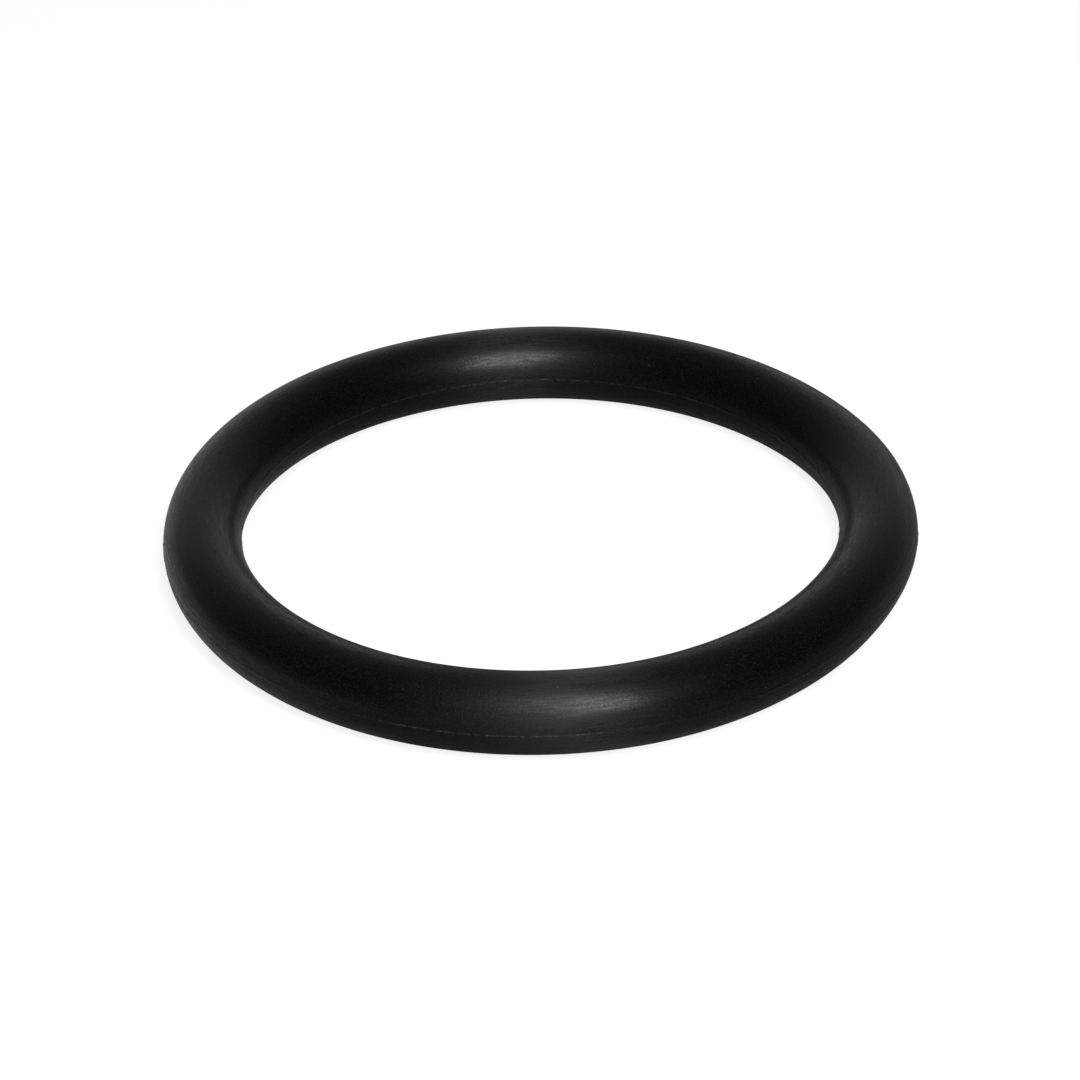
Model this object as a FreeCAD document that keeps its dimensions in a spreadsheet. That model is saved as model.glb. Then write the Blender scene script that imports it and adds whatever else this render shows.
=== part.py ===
import FreeCAD, Part
import os
import Sketcher
from FreeCAD import Vector

# O-ring, inch standard size 1.600 x 0.210: one piece of black rubber, compression moulded in two halves.
# Millimetres, +Z along the ring's axis, origin at the ring's centre, in the parting plane of the mould.

# Driving dimensions
SIZES = {
    "inner_dia": (40.64, "inside diameter of the round section, flash left out"),
    "section_dia": (5.33, "diameter of the round section"),
    "flash_height": (0.04, "how far the trimmed flash stands out of the round"),
    "flash_crest": (0.06, "width of the flash where it was trimmed, along the ring's axis"),
    "flash_root": (0.14, "width of the flash where it leaves the round"),
}
FULL_TURN = 360

# Points of a line or arc, and the sketch's own origin and horizontal axis
START, END, CENTRE = 1, 2, 3
ORIGIN = (-1, 1)
HORIZONTAL_AXIS = -1

# Sides of the section, seen with the ring's axis at its left, and its two levels
OUTER, INNER = 1, -1
UPPER, LOWER = 1, -1


def size_sheet(doc):
    sheet = doc.addObject("Spreadsheet::Sheet", "sizes")
    for row, (name, (value, meaning)) in enumerate(SIZES.items(), start=1):
        sheet.set(f"A{row}", name)
        sheet.set(f"B{row}", str(value))
        sheet.set(f"C{row}", meaning)
        sheet.setAlias(f"B{row}", name)
    doc.recompute()
    return sheet


def origin_plane(body, role):
    return next(feature for feature in body.Origin.OriginFeatures if feature.Role == role)


def bind(sketch, name, constraint, expression):
    sketch.renameConstraint(sketch.addConstraint(constraint), name)
    sketch.setExpression(f"Constraints.{name}", expression)


def ring_section(body, sizes):
    # Each half of the mould leaves a half round. Where the halves meet, outside and inside the ring, rubber has
    # crept between their worn edges and been trimmed off: a low crest on two sloping flanks.
    sketch = body.newObject("Sketcher::SketchObject", "ring_section")
    sketch.AttachmentSupport = (origin_plane(body, "XZ_Plane"), "")
    sketch.MapMode = "FlatFace"

    section_radius = sizes.section_dia / 2
    ring_radius = sizes.inner_dia / 2 + section_radius
    crest_reach = section_radius + sizes.flash_height
    half_root = sizes.flash_root / 2
    root = Vector((section_radius**2 - half_root**2) ** 0.5, half_root)
    tip = Vector(crest_reach, sizes.flash_crest / 2)

    def place(side, level, point):
        return Vector(ring_radius + side * point.x, level * point.y)

    def half_round(level):
        # The upper half starts outside and the lower half inside, so that both run anticlockwise.
        circle = Part.Circle(Vector(ring_radius, 0), Vector(0, 0, 1), section_radius)
        ends = [circle.parameter(place(side, level, root)) for side in (level, -level)]
        return sketch.addGeometry(Part.ArcOfCircle(circle, *ends))

    def crest(side):
        return sketch.addGeometry(Part.LineSegment(place(side, LOWER, tip), place(side, UPPER, tip)))

    def flank(side, level):
        return sketch.addGeometry(Part.LineSegment(place(side, level, root), place(side, level, tip)))

    def rule(*values):
        sketch.addConstraint(Sketcher.Constraint(*values))

    halves = {level: half_round(level) for level in (UPPER, LOWER)}
    crests = {side: crest(side) for side in (OUTER, INNER)}
    flanks = {(side, level): flank(side, level) for side in (OUTER, INNER) for level in (UPPER, LOWER)}

    # The section is the same above and below the parting plane, and its roots lie level outside and inside.
    rule("PointOnObject", halves[UPPER], CENTRE, HORIZONTAL_AXIS)
    rule("Equal", halves[UPPER], halves[LOWER])
    rule("Symmetric", halves[UPPER], START, halves[LOWER], END, HORIZONTAL_AXIS)
    rule("Symmetric", halves[UPPER], END, halves[LOWER], START, HORIZONTAL_AXIS)
    rule("Horizontal", halves[UPPER], START, halves[UPPER], END)
    rule("Equal", crests[OUTER], crests[INNER])
    for line in crests.values():
        rule("Symmetric", line, START, line, END, HORIZONTAL_AXIS)
    for (side, level), line in flanks.items():
        rule("Coincident", line, START, halves[level], START if side == level else END)
        rule("Coincident", line, END, crests[side], END if level == UPPER else START)

    bind(
        sketch,
        "ring_radius",
        Sketcher.Constraint("DistanceX", *ORIGIN, halves[UPPER], CENTRE, ring_radius),
        "(sizes.inner_dia + sizes.section_dia) / 2",
    )
    bind(
        sketch,
        "section_radius",
        Sketcher.Constraint("Radius", halves[UPPER], section_radius),
        "sizes.section_dia / 2",
    )
    bind(
        sketch,
        "outer_crest",
        Sketcher.Constraint("DistanceX", *ORIGIN, crests[OUTER], START, ring_radius + crest_reach),
        "sizes.inner_dia / 2 + sizes.section_dia + sizes.flash_height",
    )
    bind(
        sketch,
        "inner_crest",
        Sketcher.Constraint("DistanceX", *ORIGIN, crests[INNER], START, ring_radius - crest_reach),
        "sizes.inner_dia / 2 - sizes.flash_height",
    )
    bind(
        sketch,
        "crest_width",
        Sketcher.Constraint("DistanceY", crests[OUTER], START, crests[OUTER], END, sizes.flash_crest),
        "sizes.flash_crest",
    )
    bind(
        sketch,
        "root_width",
        Sketcher.Constraint("DistanceY", halves[LOWER], END, halves[UPPER], START, sizes.flash_root),
        "sizes.flash_root",
    )
    return sketch


def ring_body(doc, sizes):
    # The whole ring is its section, turned once round the axis.
    body = doc.addObject("PartDesign::Body", "o_ring")
    body.Label = "o_ring"
    section = ring_section(body, sizes)
    ring = body.newObject("PartDesign::Revolution", "ring")
    ring.Profile = section
    ring.ReferenceAxis = (section, ["V_Axis"])
    ring.Angle = FULL_TURN
    body.Tip = ring
    # It lies as it was moulded, with its parting plane level.
    body.Placement = FreeCAD.Placement()
    return body


def failed(feature):
    return bool({"Invalid", "Error"} & set(feature.State))


doc = FreeCAD.newDocument("o_ring")
pieces = [ring_body(doc, size_sheet(doc))]
doc.recompute()

faults = [feature.Name for feature in doc.Objects if failed(feature)]
faults += [piece.Label for piece in pieces if piece.Shape.isNull() or not piece.Shape.isValid()]
if faults:
    raise RuntimeError("not built: " + ", ".join(faults))

os.makedirs("parts", exist_ok=True)
for piece in pieces:
    piece.Shape.exportStep(f"parts/{piece.Label}.step")
    box = piece.Shape.optimalBoundingBox(False)
    print(piece.Label, [round(side, 3) for side in (box.XLength, box.YLength, box.ZLength)])
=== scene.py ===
import math

import bpy
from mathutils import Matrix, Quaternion, Vector


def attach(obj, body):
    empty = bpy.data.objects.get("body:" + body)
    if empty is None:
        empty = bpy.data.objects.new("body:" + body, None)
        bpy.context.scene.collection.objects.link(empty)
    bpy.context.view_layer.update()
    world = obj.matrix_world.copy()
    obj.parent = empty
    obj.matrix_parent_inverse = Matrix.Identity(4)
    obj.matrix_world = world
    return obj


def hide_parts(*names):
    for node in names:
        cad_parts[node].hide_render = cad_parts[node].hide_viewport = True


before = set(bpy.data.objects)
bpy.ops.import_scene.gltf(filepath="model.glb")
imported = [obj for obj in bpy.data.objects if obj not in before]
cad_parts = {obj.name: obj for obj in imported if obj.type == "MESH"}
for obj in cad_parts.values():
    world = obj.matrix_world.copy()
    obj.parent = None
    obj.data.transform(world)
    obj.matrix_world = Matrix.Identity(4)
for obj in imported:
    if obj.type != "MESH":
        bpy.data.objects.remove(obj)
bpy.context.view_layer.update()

# O-ring of black nitrile rubber, lying flat on a white floor.
# Metres, +Z along the ring's axis, origin at its centre.


def deselectAll():
    if bpy.context.mode != "OBJECT":
        bpy.ops.object.mode_set(mode="OBJECT")
    bpy.ops.object.select_all(action="DESELECT")


def selectWhere(piece, kind, wanted):  # kind is vertices, edges or polygons
    bpy.ops.object.mode_set(mode="EDIT")
    bpy.ops.mesh.select_mode(type={"vertices": "VERT", "edges": "EDGE", "polygons": "FACE"}[kind])
    bpy.ops.mesh.select_all(action="DESELECT")
    bpy.ops.object.mode_set(mode="OBJECT")
    for element in getattr(piece.data, kind):
        element.select = wanted(element)
    bpy.ops.object.mode_set(mode="EDIT")


class Wire:  # an output socket, whose sums and products add their Math nodes
    def __init__(self, tree, socket=None):
        self.tree = tree
        self.socket = socket

    def node(self, kind, settings=None, sockets=None, output=0):
        made = self.tree.nodes.new(kind)
        for name, value in (settings or {}).items():
            setattr(made, name, value)
        for name, value in (sockets or {}).items():
            if isinstance(value, Wire):
                self.tree.links.new(value.socket, made.inputs[name])
            else:
                made.inputs[name].default_value = value
        return Wire(self.tree, made.outputs[output]) if made.outputs else None

    def maths(self, operation, *values, clamp=False):
        settings = {"operation": operation, "use_clamp": clamp}
        return self.node("ShaderNodeMath", settings, dict(enumerate(values)))

    def __add__(self, other):
        return self.maths("ADD", self, other)

    def __sub__(self, other):
        return self.maths("SUBTRACT", self, other)

    def __mul__(self, other):
        return self.maths("MULTIPLY", self, other)

    def __truediv__(self, other):
        return self.maths("DIVIDE", self, other)

    def __pow__(self, other):
        return self.maths("POWER", self, other)

    def __radd__(self, other):
        return self.maths("ADD", other, self)

    def __rsub__(self, other):
        return self.maths("SUBTRACT", other, self)

    def __rmul__(self, other):
        return self.maths("MULTIPLY", other, self)

    def between(self, low, high):  # 0 below low, 1 above high, smooth in between
        settings = {"interpolation_type": "SMOOTHSTEP"}
        sockets = {"Value": self, "From Min": low, "From Max": high}
        return self.node("ShaderNodeMapRange", settings, sockets)


def newMaterial(name):
    material = bpy.data.materials.new(name)
    material.use_nodes = True
    material.node_tree.nodes.clear()
    return material, Wire(material.node_tree)


# Camera: low over the front edge of the ring, far enough away for a gentle perspective.
cameraView = {
    "location": (0, -0.21123781, 0.12797542),
    "turnDegrees": (58.5267, 1.0104, -0.6329),
    "lens": 120.23,
    "sensor": 36.0,
    "nearest": 0.01,
}


def makeCamera():
    bpy.ops.object.camera_add(
        location=cameraView["location"],
        rotation=[math.radians(angle) for angle in cameraView["turnDegrees"]],
    )
    camera = bpy.context.object
    camera.name = "camera"
    camera.data.lens = cameraView["lens"]
    camera.data.sensor_width = cameraView["sensor"]
    camera.data.clip_start = cameraView["nearest"]
    bpy.context.scene.camera = camera


makeCamera()
print("camera placed")


# The ring: a round section turned once about the axis, with the trimmed flash of its parting line.
ringSize = {
    "innerDiameter": 0.04064,
    "sectionDiameter": 0.00533,
    "sectionPoints": 72,
    "turnSteps": 1200,
    "flashHeight": 0.00004,
    "flashCrest": 0.00006,
    "flashRoot": 0.00014,
    "tornDepth": 0.000036,  # how far down the flash is torn in places
    "tornLength": 0.0005,
    "tornIntensity": 0.85,
    "tornContrast": 2.2,
    "tornDetail": 3,
    "tornJitter": 0.000006,
    "tornSeed": 7,
    "pulls": ((4, 0.0002), (-40, -0.0001), (-146, -0.00005)),  # out of round: degrees, metres outwards
    "pullWidth": 16,  # degrees of the ring that are pulled in full
    "pullReach": 0.012,  # how far beyond them the ring follows
    "smoothAngle": 35,
    "closest": 0.0000001,  # points nearer than this are one point
    "level": 0.000001,  # what is nearer than this to the parting plane lies in it
}
sectionRadius = ringSize["sectionDiameter"] / 2
ringRadius = ringSize["innerDiameter"] / 2 + sectionRadius


def makeRing():
    deselectAll()
    bpy.ops.mesh.primitive_circle_add(
        vertices=ringSize["sectionPoints"],
        radius=sectionRadius,
        location=(ringRadius, 0, 0),
        rotation=(math.radians(90), 0, 0),
    )
    ring = bpy.context.object
    ring.name = ring.data.name = "ring"
    bpy.ops.object.transform_apply(location=True, rotation=True, scale=True)
    turn = ring.modifiers.new("turn", "SCREW")
    turn.axis = "Z"
    turn.angle = math.radians(360)
    turn.steps = turn.render_steps = ringSize["turnSteps"]
    turn.use_merge_vertices = True
    bpy.ops.object.modifier_apply(modifier=turn.name)
    bpy.ops.object.mode_set(mode="EDIT")
    bpy.ops.mesh.select_all(action="SELECT")
    bpy.ops.mesh.remove_doubles(threshold=ringSize["closest"])
    bpy.ops.mesh.normals_make_consistent(inside=False)

    # The seams outside and inside are bevelled into a narrow band and drawn out to the trimmed crest.
    level = ringSize["level"]
    points = ring.data.vertices

    def onSeam(edge):
        return all(abs(points[v].co.z) < level for v in edge.vertices)

    selectWhere(ring, "edges", onSeam)
    halfRoot = ringSize["flashRoot"] / 2
    bpy.ops.mesh.bevel(offset_type="OFFSET", offset=halfRoot, segments=1, affect="EDGES")

    selectWhere(ring, "polygons", lambda face: abs(face.center.z) < level)
    bpy.ops.mesh.extrude_region_shrink_fatten(
        TRANSFORM_OT_shrink_fatten={"value": ringSize["flashHeight"]}
    )
    squeeze = ringSize["flashCrest"] / ringSize["flashRoot"]
    bpy.ops.transform.resize(value=(1, 1, squeeze), center_override=(0, 0, 0))
    crest = ring.vertex_groups.new(name="crest")
    bpy.ops.object.vertex_group_assign()
    bpy.ops.transform.vertex_random(
        offset=ringSize["tornJitter"], uniform=0, normal=0.5, seed=ringSize["tornSeed"]
    )
    bpy.ops.object.mode_set(mode="OBJECT")

    # Trimming left the flash high in places and nearly flush in others.
    torn = bpy.data.textures.new("torn", "CLOUDS")
    torn.noise_scale = ringSize["tornLength"]
    torn.noise_depth = ringSize["tornDetail"]
    torn.intensity = ringSize["tornIntensity"]
    torn.contrast = ringSize["tornContrast"]
    trim = ring.modifiers.new("trim", "DISPLACE")
    trim.texture = torn
    trim.texture_coords = "LOCAL"
    trim.vertex_group = crest.name
    trim.mid_level = 1.0
    trim.strength = ringSize["tornDepth"]
    bpy.ops.object.modifier_apply(modifier=trim.name)
    bpy.data.textures.remove(torn)
    ring.vertex_groups.clear()

    widest = math.cos(math.radians(ringSize["pullWidth"] / 2))
    for degrees, amount in ringSize["pulls"]:
        towards = Vector((math.cos(math.radians(degrees)), math.sin(math.radians(degrees)), 0))
        selectWhere(ring, "vertices", lambda point: point.co.xy.normalized().dot(towards.xy) > widest)
        bpy.ops.transform.translate(
            value=towards * amount,
            use_proportional_edit=True,
            proportional_edit_falloff="SMOOTH",
            proportional_size=ringSize["pullReach"],
        )
    bpy.ops.object.mode_set(mode="OBJECT")
    bpy.ops.object.shade_smooth_by_angle(angle=math.radians(ringSize["smoothAngle"]))
    return ring


ring = makeRing()
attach(ring, "root")
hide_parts("o_ring")
print("ring turned:", len(ring.data.vertices), "points")


# Black nitrile rubber, satin, with the fine lathe marks of the mould running round it
rubberLook = {
    "colour": (0.0002, 0.0002, 0.0002, 1),
    "speckColour": (0.0077, 0.0075, 0.0073, 1),
    "tornColour": (0.062, 0.061, 0.06, 1),
    "specular": 0.28,  # 0.5 is an ordinary smooth plastic
    # Two finishes are mixed: the satin skin, and marks too fine to see one by one.
    "satinRoughness": 0.275,
    "satinStretch": 0.64,
    "markRoughness": 0.565,
    "markStretch": 1.0,
    "markShare": 0.45,
    # Sizes along the section, lengths round the ring
    "markSpacing": 0.00012,
    "markLength": 0.0013,
    "bandSpacing": 0.0005,
    "bandLength": 0.008,
    "grainSize": 0.00013,
    "speckSize": 0.0001,
    "speckRange": (0.45, 0.8),
    "cloudSize": 0.004,
    "markHeight": 0.00001,
    "grainHeight": 0.0000047,
    # How far they change the roughness and the share of marks
    "roughnessOfMarks": 0.3,
    "roughnessOfClouds": 0.08,
    "roughnessOfTears": 0.3,
    "roughnessOfDullness": 0.16,
    "shareOfMarks": 1.1,
    "shareOfBands": 0.12,
    # The parting line is torn most in front and a little to the left, and less all along the back.
    "tornAnywhere": 0.25,
    "tornAtBack": 0.3,
    "tornInFront": 0.6,
    "backEnds": (0.2, 0.7),
    "tornAngle": -99.5,
    "tornEnds": (0.945, 0.972),  # cosines of the angle from its middle: where it starts and where it is full
    "tearSpacing": 0.0005,
    "tearLength": 0.0004,
    "tearRange": (0.38, 0.72),
    "wornLength": 0.006,
    "wornRange": (0.3, 0.7),
    "dullAngle": -99,  # the middle of a stretch rubbed a little duller
    "dullEnds": (0.955, 0.99),
    "dustSpacing": 0.0016,
    "dustSize": (0.018, 0.04),  # of the spacing
    "dustStrength": 0.7,
}


def makeRubber():
    material, wire = newMaterial("black_rubber")
    place = wire.node("ShaderNodeTexCoord", output="Object")
    x, y, z = (wire.node("ShaderNodeSeparateXYZ", {}, {"Vector": place}, axis) for axis in "XYZ")
    reach = (x * x + y * y) ** 0.5
    aroundX, aroundY = x / reach, y / reach

    # Noise drawn out round the ring, without a seam
    def noiseRound(spacing, length, detail, roughness, shift=0.0):
        turns = ringRadius / length
        spot = wire.node(
            "ShaderNodeCombineXYZ",
            {},
            {"X": reach / spacing + shift, "Y": z / spacing, "Z": aroundX * turns},
        )
        return wire.node(
            "ShaderNodeTexNoise",
            {"noise_dimensions": "4D"},
            {"Vector": spot, "W": aroundY * turns, "Scale": 1.0, "Detail": detail, "Roughness": roughness},
            "Fac",
        )

    def grainOf(size, detail, roughness=0.5):
        sockets = {"Vector": place, "Scale": 1 / size, "Detail": detail, "Roughness": roughness}
        return wire.node("ShaderNodeTexNoise", {}, sockets, "Fac")

    marks = noiseRound(rubberLook["markSpacing"], rubberLook["markLength"], detail=3.0, roughness=0.6)
    bands = noiseRound(
        rubberLook["bandSpacing"], rubberLook["bandLength"], detail=1.0, roughness=0.5, shift=40.0
    )
    grain = grainOf(rubberLook["grainSize"], detail=2.0)
    specks = grainOf(rubberLook["speckSize"], detail=1.0).between(*rubberLook["speckRange"])
    cloud = grainOf(rubberLook["cloudSize"], detail=2.0)

    def towards(degrees):  # 1 at that angle round the ring, less and less away from it
        return aroundX * math.cos(math.radians(degrees)) + aroundY * math.sin(math.radians(degrees))

    # The torn, paler rubber along the parting line, more of it in some stretches than in others
    nearSeam = 1 - z.maths("ABSOLUTE", z).between(ringSize["flashCrest"] / 2, ringSize["flashRoot"] / 2)
    tears = noiseRound(
        rubberLook["tearSpacing"], rubberLook["tearLength"], detail=3.0, roughness=0.7, shift=90.0
    )
    worn = noiseRound(1.0, rubberLook["wornLength"], detail=2.0, roughness=0.5, shift=7.0)
    torn = nearSeam * tears.between(*rubberLook["tearRange"]) * (
        rubberLook["tornAnywhere"] * worn.between(*rubberLook["wornRange"])
        + rubberLook["tornAtBack"] * aroundY.between(*rubberLook["backEnds"])
        + rubberLook["tornInFront"] * towards(rubberLook["tornAngle"]).between(*rubberLook["tornEnds"])
    )
    dull = towards(rubberLook["dullAngle"]).between(*rubberLook["dullEnds"])
    cells = {"Vector": place, "Scale": 1 / rubberLook["dustSpacing"]}
    dust = 1 - wire.node("ShaderNodeTexVoronoi", {}, cells, "Distance").between(*rubberLook["dustSize"])

    def mixed(factor, first, second):
        sockets = {"Factor": factor, "A": first, "B": second}
        return wire.node("ShaderNodeMix", {"data_type": "RGBA"}, sockets, "Result")

    black = mixed(specks, rubberLook["colour"], rubberLook["speckColour"])
    paler = torn.maths("MAXIMUM", torn, rubberLook["dustStrength"] * dust)
    colour = mixed(paler, black, rubberLook["tornColour"])
    roughness = (
        rubberLook["satinRoughness"]
        + rubberLook["roughnessOfMarks"] * (marks - 0.5)
        + rubberLook["roughnessOfClouds"] * (cloud - 0.5)
        + rubberLook["roughnessOfTears"] * torn
        + rubberLook["roughnessOfDullness"] * dull
    )
    share = (
        rubberLook["markShare"]
        + rubberLook["shareOfMarks"] * (marks - 0.5)
        + rubberLook["shareOfBands"] * (bands - 0.5)
        + (grain - 0.5)
    )
    share = share.maths("ADD", share, 0.0, clamp=True)
    height = marks * rubberLook["markHeight"] + grain * rubberLook["grainHeight"]
    bump = wire.node("ShaderNodeBump", {}, {"Strength": 1.0, "Distance": 1.0, "Height": height}, "Normal")
    shared = {"Base Color": colour, "Specular IOR Level": rubberLook["specular"], "Normal": bump}

    def finish(itsRoughness, stretch):  # a quarter turn makes the marks run round the ring
        sockets = {"Roughness": itsRoughness, "Anisotropic": stretch, "Anisotropic Rotation": 0.25}
        return wire.node("ShaderNodeBsdfPrincipled", {}, shared | sockets)

    satin = finish(roughness, rubberLook["satinStretch"])
    drawn = finish(rubberLook["markRoughness"], rubberLook["markStretch"])
    surface = wire.node("ShaderNodeMixShader", {}, {0: share, 1: satin, 2: drawn})
    wire.node("ShaderNodeOutputMaterial", {}, {"Surface": surface})
    return material


ring.data.materials.clear()
ring.data.materials.append(makeRubber())
print("rubber mixed")


# A white floor, a soft box in front of and above the ring, and a dim room, lighter behind and in front.
# The reach values are the distances in metres over which a glow comes in.
studio = {
    "floorHeight": -sectionRadius,
    "floorSize": 6.0,
    "floorColour": (0.3, 0.3, 0.3, 1),
    "floorGlow": 0.83,
    "glossyGlow": 0.02,
    "leftGlow": 0.33,
    "leftReach": (0.012, 0.03),
    "farGlow": 0.4,
    "farReach": (0.04, 0.12),
    "whiteReach": (0.1, 0.5),  # the lamp fades out there, and the floor stays white
    "boxPlace": (0.030, -0.145, 0.152),
    "boxSize": (0.084, 0.148),
    "boxTilt": 10,
    "boxPower": 0.375,
    "room": 0.05,
    "behind": 0.36,
    "lowBehind": 0.45,
    "overhead": 0.12,
    "aroundBox": 1.7,
    "lowInFront": 1.8,
    "lowHeight": 0.18,
}


def makeFloor():
    deselectAll()
    bpy.ops.mesh.primitive_plane_add(size=studio["floorSize"], location=(0, 0, studio["floorHeight"]))
    floor = bpy.context.object
    floor.name = "floor"
    material, wire = newMaterial("white_floor")
    matt = wire.node("ShaderNodeBsdfDiffuse", {}, {"Color": studio["floorColour"]})
    camera, glossy, through = (
        wire.node("ShaderNodeLightPath", output=ray)
        for ray in ("Is Camera Ray", "Is Glossy Ray", "Is Transmission Ray")
    )
    spot = wire.node("ShaderNodeTexCoord", output="Object")
    x, y = (wire.node("ShaderNodeSeparateXYZ", {}, {"Vector": spot}, axis) for axis in "XY")
    shine = (
        studio["glossyGlow"]
        + studio["leftGlow"] * (0.0 - x).between(*studio["leftReach"])
        + studio["farGlow"] * y.between(*studio["farReach"])
    )
    awayFromRing = ((x * x + y * y) ** 0.5).between(*studio["whiteReach"])
    backdrop = studio["floorGlow"] + (1 - studio["floorGlow"]) * awayFromRing
    strength = (camera + through) * backdrop + glossy * shine
    glow = wire.node("ShaderNodeEmission", {}, {"Color": (1, 1, 1, 1), "Strength": strength})
    both = wire.node("ShaderNodeAddShader", {}, {0: matt, 1: glow})
    wire.node("ShaderNodeOutputMaterial", {}, {"Surface": both})
    floor.data.materials.append(material)


def makeSoftBox():
    bpy.ops.object.light_add(type="AREA", location=studio["boxPlace"])
    lamp = bpy.context.object
    lamp.name = "soft_box"
    lamp.data.shape = "RECTANGLE"
    lamp.data.size, lamp.data.size_y = studio["boxSize"]
    lamp.data.energy = studio["boxPower"]
    lamp.visible_camera = False
    facing = lamp.location.to_track_quat("Z", "Y")  # it faces the origin
    lamp.rotation_euler = (facing @ Quaternion((0, 0, 1), math.radians(studio["boxTilt"]))).to_euler()
    return lamp


def makeRoom(lamp):
    world = bpy.data.worlds.new("room")
    world.use_nodes = True
    world.node_tree.nodes.clear()
    wire = Wire(world.node_tree)
    way = wire.node("ShaderNodeTexCoord", output="Generated")
    x, y, z = (wire.node("ShaderNodeSeparateXYZ", {}, {"Vector": way}, axis) for axis in "XYZ")
    towardsBox = lamp.location.normalized()
    alongBox = x * towardsBox.x + y * towardsBox.y + z * towardsBox.z
    behind, inFront, up, alongBox = (
        value.maths("MAXIMUM", value, 0.0) for value in (y, 0.0 - y, z, alongBox)
    )
    low = wire.maths("EXPONENT", 0.0 - (z / studio["lowHeight"]) ** 2)
    light = (
        studio["room"]
        + studio["behind"] * behind**2
        + studio["lowBehind"] * behind**8
        + studio["overhead"] * up**4
        + studio["aroundBox"] * alongBox**12
        + studio["lowInFront"] * low * inFront**6
    )
    camera, glossy, through = (
        wire.node("ShaderNodeLightPath", output=ray)
        for ray in ("Is Camera Ray", "Is Glossy Ray", "Is Transmission Ray")
    )
    strength = light + (camera + through + glossy * studio["glossyGlow"]) * (1 - light)
    shine = wire.node("ShaderNodeBackground", {}, {"Color": (1, 1, 1, 1), "Strength": strength})
    wire.node("ShaderNodeOutputWorld", {}, {"Surface": shine})
    bpy.context.scene.world = world


makeFloor()
makeRoom(makeSoftBox())
bpy.context.scene.view_settings.view_transform = "Standard"
print("studio lit")
